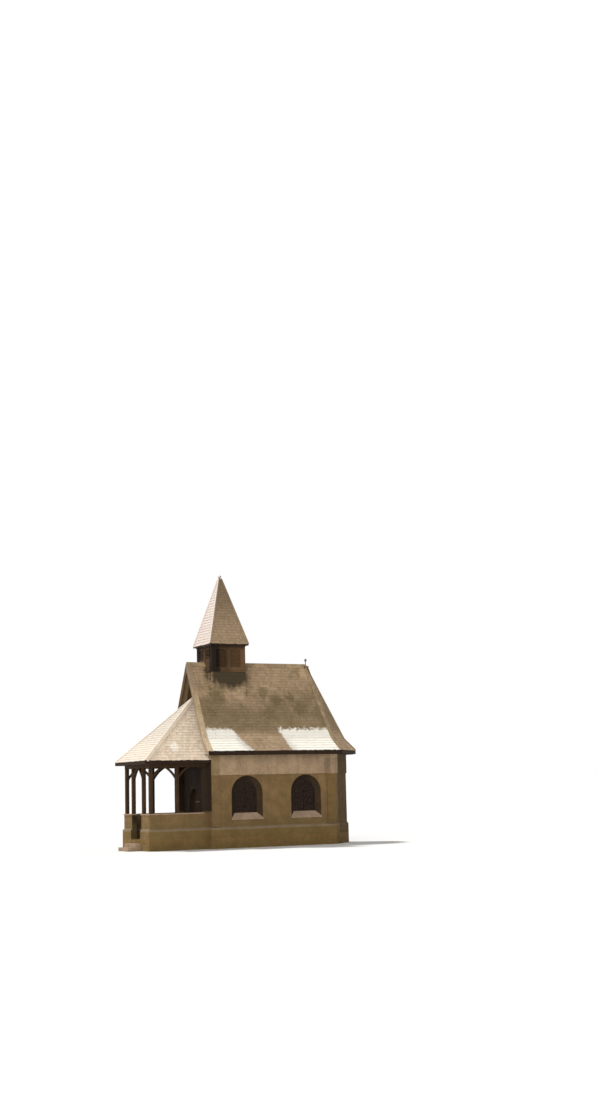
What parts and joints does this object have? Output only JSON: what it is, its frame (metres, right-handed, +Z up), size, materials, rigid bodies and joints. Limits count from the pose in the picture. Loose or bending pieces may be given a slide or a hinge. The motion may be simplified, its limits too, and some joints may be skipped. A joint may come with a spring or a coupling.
{
  "type": "small chapel",
  "caption": "Small mountain chapel with a steep shingled roof, a ridge turret with a pyramid spire, a three-sided apse and an open porch under a half-pyramid roof.",
  "frame": {"origin": "on the ground, under the centre of the building's overall bounding box", "axes": "+Z up, +X along the nave from the porch to the apse, +Y to the north long wall"},
  "size_m": [11.82, 4.72, 12.865],
  "materials": {
    "wall_plaster": "rough lime plaster, weathered",
    "frieze_plaster": "smooth lime plaster band",
    "plinth_stone": "rough rendered stone",
    "pale_stone": "dressed stone, worn",
    "roof_shingles": "weathered split shingles",
    "porch_shingles": "pale sun-bleached shingles",
    "spire_shingles": "sun-bleached shingles",
    "dark_timber": "dark stained timber",
    "gable_timber": "dark weathered boards",
    "trim_timber": "weathered planed boards",
    "window_glass": "old clear glass",
    "finial_metal": "dull weathered sheet metal",
    "floor_stone": "worn stone paving"
  },
  "bodies": {
    "root": {"nave_base": "plinth_stone", "nave_floor": "floor_stone", "front_wall": "wall_plaster", "south_wall": "wall_plaster", "north_wall": "wall_plaster", "apse_wall_southeast": "wall_plaster", "apse_wall_east": "wall_plaster", "apse_wall_northeast": "wall_plaster", "door_threshold": "pale_stone", "door_frame": "dark_timber", "door_leaf": "dark_timber", "frieze_south": "frieze_plaster", "frieze_north": "frieze_plaster", "frieze_apse": "frieze_plaster", "window_frames": "dark_timber", "window_glass": "window_glass", "window_sills": "pale_stone", "roof_south": "roof_shingles", "roof_north": "roof_shingles", "roof_apse_southeast": "roof_shingles", "roof_apse_east": "roof_shingles", "roof_apse_northeast": "roof_shingles", "roof_caps": "trim_timber", "wall_plate": "dark_timber", "eave_soffit": "dark_timber", "gable_boards": "gable_timber", "bargeboards": "gable_timber", "turret_skirt": "roof_shingles", "turret_shaft": "dark_timber", "turret_louvres": "dark_timber", "spire": "spire_shingles", "roof_finials": "finial_metal", "porch_base": "plinth_stone", "entrance_steps": "pale_stone", "porch_parapets": "wall_plaster", "parapet_copings": "pale_stone", "porch_responds": "wall_plaster", "porch_posts": "dark_timber", "porch_beams": "dark_timber", "porch_braces": "dark_timber", "porch_ceiling": "dark_timber", "porch_roof_front": "porch_shingles", "porch_roof_south": "porch_shingles", "porch_roof_north": "porch_shingles", "porch_hips": "trim_timber"}
  },
  "joints": []
}
